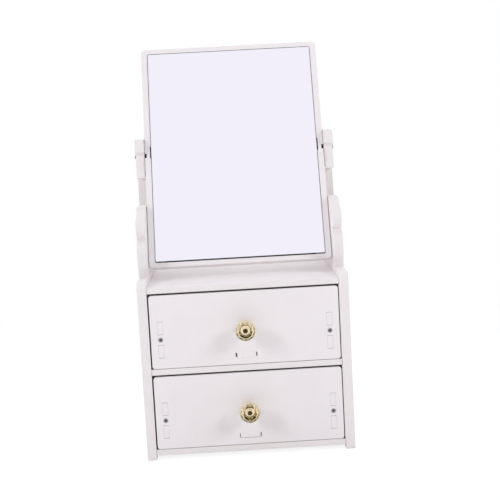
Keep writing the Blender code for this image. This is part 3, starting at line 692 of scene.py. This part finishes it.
def fluted_ring(name: str, centre: Vector, profile: Profile, flutes: int, depth: float) -> bpy.types.Mesh:
    """A closed ring about an axis along Y, with flutes around its outside.

    Args:
        name: The mesh's name.
        centre: A point on the axis, from which the profile is measured.
        profile: Pairs of radius and distance along -Y, around the ring's section; the widest
            half of it gets the flutes.
        flutes: How many flutes go around.
        depth: How deep the flutes are.

    Returns:
        The closed mesh; every second row of faces has the second material.
    """
    work = bmesh.new()
    middle = sum(radius for radius, _ in profile) / len(profile)
    rings = []
    for step in range(2 * flutes):
        turn = math.pi * step / flutes
        row = []
        for radius, along in profile:
            reach = radius - (depth if step % 2 and radius > middle else 0.0)
            offset = Vector((reach * math.cos(turn), -along, reach * math.sin(turn)))
            row.append(work.verts.new(centre + offset))
        rings.append(row)
    for step, near in enumerate(rings):
        far = rings[(step + 1) % len(rings)]
        for index in range(len(profile)):
            after = (index + 1) % len(profile)
            face = work.faces.new((near[index], near[after], far[after], far[index]))
            face.material_index = step % 2
    return finished(work, name)


@dataclass(frozen=True)
class Fastener:
    """A screw or bolt along +X, with the face of its head at the origin."""

    name: str
    head_radius: float
    head: float
    dome: float
    shank_radius: float
    length: float
    tip: float
    recess: Recess
    recess_reach: float
    recess_depth: float
    recess_width: float = 0.0
    rim: float = 0.00025
    taper: float = 0.72
    steps: int = 32
    sharp: float = math.radians(32)

    def mesh(self) -> bpy.types.Mesh:
        """The fastener's mesh, with its driver recess.

        Returns:
            The closed mesh.
        """
        shoulder = self.head_radius - self.rim
        profile = (
            (0.0, 0.0),
            (self.dome * 0.25, shoulder * 0.5),
            (self.dome, shoulder),
            (self.dome + self.rim, self.head_radius),
            (self.head - self.rim, self.head_radius),
            (self.head, shoulder),
            (self.head, self.shank_radius),
            (self.length - self.tip, self.shank_radius),
            (self.length, 0.0 if self.tip else self.shank_radius),
        )
        if not self.tip:
            profile += ((self.length, 0.0),)
        outline = (
            cross_outline(self.recess_reach, self.recess_width)
            if self.recess is Recess.CROSS
            else hexagon_outline(self.recess_reach)
        )
        tool = tapered_tool(outline, self.recess_depth, self.taper, self.head)
        return cut_out(spun(self.name, profile, self.steps, self.sharp), tool)


class Packed:
    """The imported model: its nodes to dress, and the places of those that are made again."""

    def __init__(self) -> None:
        """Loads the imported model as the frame."""
        self.nodes: dict[str, bpy.types.Object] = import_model()["nodes"]

    def dress(self, names: Iterable[str], material: bpy.types.Material) -> None:
        """Gives nodes a finish.

        Args:
            names: The nodes' names.
            material: The finish that all of them take.
        """
        for name in names:
            mesh = self.nodes[name].data
            mesh.materials.clear()
            mesh.materials.append(material)
            LOG.info("%s: dressed in %s", name, material.name)

    def refit(
        self, node: str, mesh: bpy.types.Mesh, heading: Vector, roll: float, body: Body, slot: Slot
    ) -> None:
        """Puts a remade fastener where its node is, and hides the node.

        Args:
            node: The node that the fastener stands for.
            mesh: The fastener's mesh, along +X with its head at the origin.
            heading: The way that the shank points.
            roll: How far the fastener is turned about its own axis.
            body: The body that it rides on.
            slot: The material slot that its finish belongs to; not used.
        """
        low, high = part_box(node)
        centre = (low + high) / 2
        half = abs((high - low).dot(heading)) / 2
        thing = bpy.data.objects.new(f"{node}_driven", mesh)
        bpy.context.scene.collection.objects.link(thing)
        thing.rotation_mode = "QUATERNION"
        thing.rotation_quaternion = heading.to_track_quat("X", "Z") @ Quaternion((1.0, 0.0, 0.0), roll)
        thing.location = centre - heading * half
        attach(thing, body.value)
        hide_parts(node)
        LOG.info("%s: remade with its recess", node)


def added(
    name: str, mesh: bpy.types.Mesh, finishes: Sequence[bpy.types.Material], body: Body
) -> None:
    """Puts a new piece in the scene, with its finishes, on its body.

    Args:
        name: The piece's name.
        mesh: Its mesh, in the model's frame.
        finishes: The mesh's materials, in order.
        body: The body that it rides on.
    """
    for finish in finishes:
        mesh.materials.append(finish)
    thing = bpy.data.objects.new(name, mesh)
    bpy.context.scene.collection.objects.link(thing)
    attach(thing, body.value)
    LOG.info("%s: added", name)


@dataclass
class Shop:
    """The finishes and fastener meshes that the sub-assemblies share."""

    tilt: float = math.radians(19.8)
    wood_screw: Fastener = Fastener(
        name="wood_screw",
        head_radius=0.0021,
        head=0.0014,
        dome=0.00012,
        shank_radius=0.0013,
        length=0.022,
        tip=0.003,
        recess=Recess.CROSS,
        recess_reach=0.0012,
        recess_depth=0.0009,
        recess_width=0.0005,
    )
    knob_screw: Fastener = Fastener(
        name="knob_screw",
        head_radius=0.0038,
        head=0.0022,
        dome=0.0009,
        shank_radius=0.0018,
        length=0.017,
        tip=0.0,
        recess=Recess.CROSS,
        recess_reach=0.0019,
        recess_depth=0.0013,
        recess_width=0.0008,
    )
    pivot_bolt: Fastener = Fastener(
        name="pivot_bolt",
        head_radius=0.0024,
        head=0.0008,
        dome=0.0003,
        shank_radius=0.0013,
        length=0.0202,
        tip=0.0,
        recess=Recess.HEXAGON,
        recess_reach=0.0011,
        recess_depth=0.00055,
        rim=0.00012,
    )
    boards: dict[str, bpy.types.Material] = field(default_factory=dict)

    def __post_init__(self) -> None:
        """Makes the finishes and the fasteners' meshes."""
        glass_axis = (0.0, -math.cos(self.tilt), math.sin(self.tilt))
        axes = {
            "x": (1.0, 0.0, 0.0),
            "y": (0.0, 1.0, 0.0),
            "z": (0.0, 0.0, 1.0),
            "tilted": glass_axis,
        }
        open_sides = {"y": (0.0, 0.0, -1.0), "z": (0.0, 0.0, 1.0)}
        for name, axis in axes.items():
            finish = BoardFinish(f"white_board_{name}", axis, open_side=open_sides.get(name))
            self.boards[name] = finish.material()
        self.silver = MirrorFinish("mirror_silver_wiped", glass_axis).material()
        self.nylon = MouldedFinish(
            "black_nylon_moulded",
            colour=(0.013, 0.013, 0.014),
            lighter=(0.022, 0.022, 0.023),
            gloss=(0.38, 0.52),
            grain=Grain(1800.0, 3.0, 0.6),
            grain_depth=0.00002,
        ).material()
        self.foam = MouldedFinish(
            "black_foam_cells",
            colour=(0.008, 0.008, 0.008),
            lighter=(0.02, 0.02, 0.02),
            gloss=(0.8, 0.95),
            grain=Grain(1400.0, 3.0, 0.6),
            grain_depth=0.0001,
        ).material()
        self.dark_steel = MetalFinish(
            "dark_steel_blackened",
            colour=(0.055, 0.055, 0.060),
            dull=(0.035, 0.034, 0.036),
            gloss=(0.32, 0.48),
        ).material()
        self.grey_steel = ScrewFinish(
            "grey_steel_plated",
            colour=(0.46, 0.45, 0.46),
            dull=(0.34, 0.33, 0.34),
            gloss=(0.28, 0.42),
        ).material()
        self.gilt = KnobBaseFinish(
            "gilt_plated",
            colour=(0.86, 0.66, 0.32),
            dull=(0.74, 0.54, 0.22),
            gloss=(0.12, 0.24),
            turning_depth=0.000004,
        ).material()
        self.gilt_shaded = MetalFinish(
            "gilt_shaded",
            colour=(0.30, 0.21, 0.08),
            dull=(0.20, 0.14, 0.05),
            gloss=(0.18, 0.30),
            turning_depth=0.000004,
        ).material()
        self.foil = MetalFinish(
            "gilt_foil",
            colour=(0.96, 0.86, 0.66),
            dull=(0.84, 0.71, 0.52),
            gloss=(0.14, 0.28),
            turning_depth=0.000004,
        ).material()
        # painted shade: a near-black sheet for the dark ends of the floor tenons' slots
        self.slot_shade_finish = MouldedFinish(
            "dark_glue",
            colour=(0.012, 0.011, 0.012),
            lighter=(0.03, 0.028, 0.03),
            gloss=(0.5, 0.7),
            grain=Grain(1500.0, 3.0, 0.6),
            grain_depth=0.00003,
        ).material()
        self.screw_mesh = self.fastener_mesh(self.wood_screw, self.grey_steel)
        self.knob_screw_mesh = self.fastener_mesh(self.knob_screw, self.grey_steel)
        self.bolt_mesh = self.fastener_mesh(self.pivot_bolt, self.dark_steel)

    @staticmethod
    def fastener_mesh(fastener: Fastener, material: bpy.types.Material) -> bpy.types.Mesh:
        """A fastener's mesh with its finish on it.

        Args:
            fastener: The fastener to make.
            material: Its finish.

        Returns:
            The mesh, which every such fastener shares.
        """
        mesh = fastener.mesh()
        mesh.materials.clear()
        mesh.materials.append(material)
        return mesh


@dataclass
class Carcass:
    """The side panels, the boards between them and their screws."""

    shop: Shop
    packed: Packed
    roll_step: float = math.radians(37)
    joint: float = 0.0003
    filler_sink: float = 0.00005
    filler: float = 0.0003
    filler_rim: float = 0.00003
    head_film: float = 0.0003
    head_film_depth: Range = (-0.0102, 0.0160)
    head_film_rise: Range = (0.0043, 0.0143)
    bay_film: float = 0.0005
    bay_film_depth: Range = (0.0004, 0.0100)
    bay_film_room: float = 0.0004

    def build(self) -> None:
        """Dresses the boards and bushes, and remakes the screws."""
        boards = self.shop.boards
        self.packed.dress(("side_panel_left", "side_panel_right"), boards["x"])
        self.packed.dress(("bottom_board", "middle_board", "top_board"), boards["z"])
        self.packed.dress(("back_board",), boards["y"])
        self.packed.dress(("pivot_bush_left", "pivot_bush_right"), self.shop.nylon)
        self.screws()
        self.joint_filler()
        self.edge_film()

    def joint_filler(self) -> None:
        """The white filler in the joints between the boards' ends and the side panels."""
        boxes = []
        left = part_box("side_panel_left")[1].x
        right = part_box("side_panel_right")[0].x - self.joint
        for start in (left, right):
            for board in ("bottom", "middle", "top"):
                low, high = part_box(f"{board}_board")
                face = low.y + self.filler_sink
                foot = Vector((start, face, low.z + self.filler_sink))
                top = Vector((start + self.joint, face + self.filler, high.z - self.filler_sink))
                boxes.append((foot, top))
            low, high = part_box("top_board")
            level = high.z - self.filler_sink
            foot = Vector((start, low.y + self.filler_sink + self.filler, level - self.filler))
            top = Vector((start + self.joint, high.y - self.filler_sink, level))
            boxes.append((foot, top))
        mesh = thin_plates("carcass_joint_filler", boxes, self.filler_rim)
        added(mesh.name, mesh, [self.shop.boards["z"]], Body.CABINET)

    def edge_film(self) -> None:
        """The white film inside the side panels: beside the mirror, and right of the drawers."""
        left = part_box("side_panel_left")[1].x
        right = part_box("side_panel_right")[0].x
        low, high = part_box("pivot_bush_left")
        pivot = (low + high) / 2
        near, far = (pivot.y + reach for reach in self.head_film_depth)
        foot, top = (pivot.z + reach for reach in self.head_film_rise)
        boxes = [
            (Vector((start, near, foot)), Vector((start + self.head_film, far, top)))
            for start in (left, right - self.head_film)
        ]
        for under, over in (("bottom", "middle"), ("middle", "top")):
            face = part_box(f"{under}_board")[0].y
            near, far = (face + reach for reach in self.bay_film_depth)
            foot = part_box(f"{under}_board")[1].z + self.bay_film_room
            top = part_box(f"{over}_board")[0].z - self.bay_film_room
            boxes.append((Vector((right - self.bay_film, near, foot)), Vector((right, far, top))))
        mesh = thin_plates("side_panel_edge_film", boxes, self.filler_rim)
        added(mesh.name, mesh, [self.shop.boards["x"]], Body.CABINET)

    def screws(self) -> None:
        """The screws that come in through the side panels."""
        for index, board in enumerate(("bottom", "middle", "top", "back")):
            for side, heading in (("left", RIGHTWARD), ("right", LEFTWARD)):
                node = f"{board}_board_screw_{side}"
                roll = self.roll_step * (2 * index + heading.x)
                mesh = self.shop.screw_mesh
                self.packed.refit(node, mesh, heading, roll, Body.CABINET, Slot.GREY_STEEL)


@dataclass
class TiltingMirror:
    """The mirror's board, glass and pad, with the bolts that it turns on."""

    shop: Shop
    packed: Packed

    def build(self) -> None:
        """Dresses the board and the glass, and remakes the bolts."""
        self.packed.dress(("mirror_board",), self.shop.boards["tilted"])
        self.packed.dress(("mirror_glass",), self.shop.silver)
        self.packed.dress(("glass_pad",), self.shop.foam)
        self.packed.dress(("pivot_nut_left", "pivot_nut_right"), self.shop.dark_steel)
        for side, heading in (("left", RIGHTWARD), ("right", LEFTWARD)):
            node = f"pivot_bolt_{side}"
            self.packed.refit(node, self.shop.bolt_mesh, heading, 0.0, Body.MIRROR, Slot.DARK_STEEL)


@dataclass(frozen=True)
class FloorMarks:
    """What shows where the floor's tenon comes through the front: painted shade at its ends, a crack
    below.
    """

    left: float
    right: float
    crack: float
    below: float = 0.0010
    above: float = 0.0006


@dataclass
class Drawer:
    """One drawer: its boards, its screws and its knob."""

    name: str
    body: Body
    shop: Shop
    packed: Packed
    first_roll: float
    marks: FloorMarks
    fit: float = 0.0003
    end_gap: float = 0.0006
    side_tenon: float = 0.012
    side_spread: float = 0.0117
    floor_tenon: float = 0.0205
    cap_sink: float = 0.00006
    cap: float = 0.00018
    cap_crack: float = 0.00026
    cap_crack_side: float = 0.00009
    rim: float = 0.00004
    foil_sink: float = 0.00008
    foil: float = 0.00012
    foil_reach: Range = (0.00275, 0.00485)
    foil_steps: int = 24
    collar_sink: float = 0.00015
    collar: float = 0.0022
    collar_inner: float = 0.0049
    collar_reach: Range = (0.0052, 0.00595)
    collar_flutes: int = 12
    collar_flute: float = 0.0003

    def build(self) -> None:
        """Dresses the boards and the knob, remakes the screws and adds the small pieces."""
        boards = self.shop.boards
        self.packed.dress((f"{self.name}_front", f"{self.name}_back"), boards["y"])
        self.packed.dress((f"{self.name}_side_left", f"{self.name}_side_right"), boards["x"])
        self.packed.dress((f"{self.name}_floor",), boards["z"])
        self.packed.dress((f"{self.name}_knob_base",), self.shop.gilt)
        crystal = f"{self.name}_knob_crystal"
        middle = sum(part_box(crystal), Vector()) / 2
        self.packed.dress((crystal,), CrystalFinish(f"{crystal}_cut", tuple(middle)).material())
        self.screws()
        self.tenon_caps()
        self.painted_slot_shade()
        self.knob_lining()

    def tenon_slots(self) -> tuple[list[tuple[Vector, Vector]], tuple[Vector, Vector]]:
        """The slots in the front, each as two opposite corners on its face.

        Returns:
            The slots for the side boards, and the slot for the floor.
        """
        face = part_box(f"{self.name}_front")[0].y
        sides = []
        for side in ("left", "right"):
            low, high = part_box(f"{self.name}_side_{side}")
            middle = (low.z + high.z) / 2
            reach = self.side_tenon / 2 + self.end_gap
            for offset in (-self.side_spread, self.side_spread):
                foot, top = middle + offset - reach, middle + offset + reach
                corners = Vector((low.x - self.fit, face, foot)), Vector((high.x + self.fit, face, top))
                sides.append(corners)
        low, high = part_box(f"{self.name}_floor")
        reach = self.floor_tenon / 2 + self.end_gap
        floor = Vector((-reach, face, low.z - self.fit)), Vector((reach, face, high.z + self.fit))
        return sides, floor

    def tenon_caps(self) -> None:
        """The film over each tenon's end, which leaves a crack at both ends of its slot."""
        sides, (low, high) = self.tenon_slots()
        near, far = Vector((0.0, self.cap_sink, 0.0)), Vector((0.0, self.cap_sink + self.cap, 0.0))
        crack = Vector((self.cap_crack_side, 0.0, self.cap_crack))
        boxes = [(foot + near + crack, top + far - crack) for foot, top in sides]
        marks = self.marks
        inner, outer = low.x + marks.left, high.x - marks.right
        foot, top = low.z + marks.crack, high.z
        for start, end, floor, roof in (
            (inner, outer, foot, top),
            (low.x, inner, foot, low.z + marks.below),
            (low.x, inner, high.z - marks.above, top),
            (outer, high.x, foot, low.z + marks.below),
            (outer, high.x, high.z - marks.above, top),
        ):
            boxes.append((Vector((start, low.y, floor)) + near, Vector((end, low.y, roof)) + far))
        mesh = thin_plates(f"{self.name}_tenon_caps", boxes, self.rim)
        added(mesh.name, mesh, [self.shop.boards["y"]], self.body)

    def painted_slot_shade(self) -> None:
        """Dark sheets of painted shade at both ends of the floor's tenon."""
        _, (low, high) = self.tenon_slots()
        near, far = Vector((0.0, self.cap_sink, 0.0)), Vector((0.0, self.cap_sink + self.cap, 0.0))
        marks = self.marks
        boxes = []
        for start, end in ((low.x, low.x + marks.left), (high.x - marks.right, high.x)):
            foot = Vector((start, low.y, low.z + marks.below))
            top = Vector((end, low.y, high.z - marks.above))
            boxes.append((foot + near, top + far))
        mesh = thin_plates(f"{self.name}_glue_marks", boxes, self.rim)
        added(mesh.name, mesh, [self.shop.slot_shade_finish], self.body)

    def knob_lining(self) -> None:
        """What shows through the crystal: a foil ring on the cup, and a fluted collar around it."""
        base_low, base_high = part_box(f"{self.name}_knob_base")
        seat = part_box(f"{self.name}_knob_crystal")[1].y
        middle = Vector((0.0, seat, (base_low.z + base_high.z) / 2))
        rear, front = -self.foil_sink - self.foil, -self.foil_sink
        inner, outer = self.foil_reach
        section = ((inner, rear), (outer, rear), (outer, front), (inner, front))
        mesh = fluted_ring(f"{self.name}_knob_foil", middle, section, self.foil_steps, 0.0)
        added(mesh.name, mesh, [self.shop.foil, self.shop.foil], self.body)
        narrow, wide = self.collar_reach
        section = (
            (self.collar_inner, self.collar_sink),
            (wide, self.collar_sink),
            (narrow, self.collar),
            (self.collar_inner, self.collar),
        )
        name = f"{self.name}_knob_collar"
        mesh = fluted_ring(name, middle, section, self.collar_flutes, self.collar_flute)
        added(mesh.name, mesh, [self.shop.gilt, self.shop.gilt_shaded], self.body)

    def screws(self) -> None:
        """The wood screws at both ends of the sides, and the knob's screw."""
        roll = self.first_roll
        for end, heading in (("front", REARWARD), ("rear", FORWARD)):
            for side in ("left", "right"):
                node = f"{self.name}_{end}_screw_{side}"
                self.packed.refit(node, self.shop.screw_mesh, heading, roll, self.body, Slot.GREY_STEEL)
                roll += self.first_roll
        node = f"{self.name}_knob_screw"
        self.packed.refit(node, self.shop.knob_screw_mesh, FORWARD, roll, self.body, Slot.GREY_STEEL)


@dataclass(frozen=True)
class Lamp:
    """A soft square lamp that looks at the box."""

    name: str
    place: Coordinates
    side: float
    power: float
    colour: Colour = (1.0, 0.987, 1.022)

    def hang(self, aim: Vector) -> None:
        """Makes the lamp.

        Args:
            aim: The point that it looks at.
        """
        light = bpy.data.lights.new(self.name, "AREA")
        light.shape = "SQUARE"
        light.size = self.side
        light.energy = self.power
        light.color = self.colour
        lamp = bpy.data.objects.new(self.name, light)
        lamp.location = self.place
        lamp.rotation_euler = (aim - lamp.location).to_track_quat("-Z", "Y").to_euler()
        bpy.context.scene.collection.objects.link(lamp)
        LOG.info("%s: hung", self.name)


@dataclass
class Studio:
    """A pale floor, a white room, two soft lamps and the camera."""

    image_side: int = 500
    focal_pixels: float = 1030.0
    sensor: float = 36.0
    target: Coordinates = (0.0091, -0.063, 0.2067)
    distance: float = 1.014
    elevation: float = math.radians(6.37)
    azimuth: float = math.radians(-1.25)
    roll: float = math.radians(-3.10)
    clip: Range = (0.01, 50.0)
    floor_reach: float = 6.0
    floor_sides: int = 96
    floor_clear: float = 0.0003
    floor_colour: Colour = (0.92, 0.91, 0.92)
    shadow_colour: Colour = (0.19, 0.19, 0.19)
    floor_glow: float = 0.86
    floor_fade: Range = (0.35, 0.9)
    room_heading: Coordinates = (-0.28, 0.82, 0.50)
    room_fade: Range = (-0.3, 0.5)
    room_front: float = 0.32
    room_rear: float = 1.13
    room_colour: Colour = (1.0, 0.987, 1.022)
    lamps: tuple[Lamp, ...] = (
        Lamp("lamp_left", (-1.35, -1.10, 0.98), 0.5, 8.9),
        Lamp("lamp_right", (1.35, -1.10, 0.98), 0.5, 9.8),
    )

    def build(self) -> None:
        """Makes the whole studio."""
        self.camera()
        self.floor()
        self.room()
        for lamp in self.lamps:
            lamp.hang(Vector(self.target))
        bpy.context.scene.view_settings.view_transform = "Standard"

    def camera(self) -> None:
        """The camera, at the photograph's place, tilt and focal length."""
        data = bpy.data.cameras.new("camera")
        data.sensor_width = self.sensor
        data.lens = self.sensor * self.focal_pixels / self.image_side
        data.clip_start, data.clip_end = self.clip
        cam = bpy.data.objects.new("camera", data)
        bpy.context.scene.collection.objects.link(cam)
        flat = math.cos(self.elevation)
        back = Vector(
            (math.sin(self.azimuth) * flat, -math.cos(self.azimuth) * flat, math.sin(self.elevation))
        )
        cam.location = Vector(self.target) + back * self.distance
        cam.rotation_mode = "QUATERNION"
        level = (-back).to_track_quat("-Z", "Y")
        cam.rotation_quaternion = level @ Quaternion((0.0, 0.0, 1.0), self.roll)
        bpy.context.scene.camera = cam
        LOG.info("camera: set")

    @staticmethod
    def seen_directly(nodes: Any, links: Any) -> Any:
        """Which rays see a surface with the eye: those of the camera, a reflection or clear glass.

        Args:
            nodes: The tree's nodes.
            links: The tree's links.

        Returns:
            A socket that is one for such rays and zero for light.
        """
        path = nodes.new("ShaderNodeLightPath")
        total = path.outputs["Is Camera Ray"]
        for name in ("Is Glossy Ray", "Is Transmission Ray"):
            add = nodes.new("ShaderNodeMath")
            add.operation = "MAXIMUM"
            links.new(total, add.inputs[0])
            links.new(path.outputs[name], add.inputs[1])
            total = add.outputs[0]
        return total

    def floor(self) -> None:
        """The floor, pale where the box's shadow lies and white further out."""
        work = bmesh.new()
        bmesh.ops.create_circle(
            work, cap_ends=True, segments=self.floor_sides, radius=self.floor_reach
        )
        mesh = bpy.data.meshes.new("floor")
        work.to_mesh(mesh)
        work.free()
        floor = bpy.data.objects.new("floor", mesh)
        floor.location.z = -self.floor_clear
        bpy.context.scene.collection.objects.link(floor)
        mesh.materials.append(self.floor_material())
        LOG.info("floor: laid")

    def floor_material(self) -> bpy.types.Material:
        """A matt floor that lights the box, and to the eye is white with a faint shadow on it.

        Returns:
            The material.
        """
        material = bpy.data.materials.new("floor_paper")
        material.use_nodes = True
        nodes, links = material.node_tree.nodes, material.node_tree.links
        nodes.clear()
        out = nodes.new("ShaderNodeOutputMaterial")
        paper = nodes.new("ShaderNodeBsdfDiffuse")
        paper.inputs["Color"].default_value = (*self.floor_colour, 1.0)
        shadowed = nodes.new("ShaderNodeBsdfDiffuse")
        shadowed.inputs["Color"].default_value = (*self.shadow_colour, 1.0)
        glow = nodes.new("ShaderNodeEmission")
        glow.inputs["Strength"].default_value = self.floor_glow
        near = nodes.new("ShaderNodeAddShader")
        links.new(shadowed.outputs[0], near.inputs[0])
        links.new(glow.outputs[0], near.inputs[1])
        white = nodes.new("ShaderNodeEmission")
        white.inputs["Strength"].default_value = 1.0
        place = nodes.new("ShaderNodeTexCoord")
        reach = nodes.new("ShaderNodeVectorMath")
        reach.operation = "LENGTH"
        links.new(place.outputs["Object"], reach.inputs[0])
        fade = nodes.new("ShaderNodeMapRange")
        fade.interpolation_type = "SMOOTHSTEP"
        fade.inputs["From Min"].default_value, fade.inputs["From Max"].default_value = self.floor_fade
        links.new(reach.outputs["Value"], fade.inputs["Value"])
        to_eye = nodes.new("ShaderNodeMixShader")
        links.new(fade.outputs["Result"], to_eye.inputs[0])
        links.new(near.outputs[0], to_eye.inputs[1])
        links.new(white.outputs[0], to_eye.inputs[2])
        whole = nodes.new("ShaderNodeMixShader")
        links.new(self.seen_directly(nodes, links), whole.inputs[0])
        links.new(paper.outputs[0], whole.inputs[1])
        links.new(to_eye.outputs[0], whole.inputs[2])
        links.new(whole.outputs[0], out.inputs["Surface"])
        return material

    def room(self) -> None:
        """The room's light: white to the eye, softer on the box and brighter from above and behind."""
        world = bpy.data.worlds.new("room")
        world.use_nodes = True
        nodes, links = world.node_tree.nodes, world.node_tree.links
        light = nodes["Background"]
        heading = nodes.new("ShaderNodeTexCoord")
        along = nodes.new("ShaderNodeVectorMath")
        along.operation = "DOT_PRODUCT"
        along.inputs[1].default_value = self.room_heading
        links.new(heading.outputs["Generated"], along.inputs[0])
        level = nodes.new("ShaderNodeMapRange")
        level.interpolation_type = "SMOOTHSTEP"
        level.inputs["From Min"].default_value, level.inputs["From Max"].default_value = self.room_fade
        level.inputs["To Min"].default_value = self.room_front
        level.inputs["To Max"].default_value = self.room_rear
        links.new(along.outputs["Value"], level.inputs["Value"])
        seen = self.seen_directly(nodes, links)
        eye = nodes.new("ShaderNodeMix")
        eye.inputs[3].default_value = 1.0
        links.new(seen, eye.inputs[0])
        links.new(level.outputs["Result"], eye.inputs[2])
        links.new(eye.outputs[0], light.inputs["Strength"])
        tint = nodes.new("ShaderNodeMix")
        tint.data_type = "RGBA"
        tint.inputs[6].default_value = (*self.room_colour, 1.0)
        tint.inputs[7].default_value = (1.0, 1.0, 1.0, 1.0)
        links.new(seen, tint.inputs[0])
        links.new(tint.outputs[2], light.inputs["Color"])
        bpy.context.scene.world = world
        LOG.info("room: lit")


def main() -> None:
    """Dresses the box, remakes its fasteners and sets up the studio."""
    logging.basicConfig(level=logging.INFO, format="%(name)s %(message)s")
    packed = Packed()
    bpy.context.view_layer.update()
    shop = Shop()
    Carcass(shop, packed).build()
    TiltingMirror(shop, packed).build()
    marks = {
        Body.DRAWER_UPPER: FloorMarks(left=0.00165, right=0.00115, crack=0.00002),
        Body.DRAWER_LOWER: FloorMarks(left=0.0007, right=0.0010, crack=0.0003),
    }
    for turn, (body, floor_marks) in enumerate(marks.items()):
        first_roll = math.radians(23 + 38 * turn)
        Drawer(body.value, body, shop, packed, first_roll, floor_marks).build()
    Studio().build()


if __name__ == "__main__":
    main()
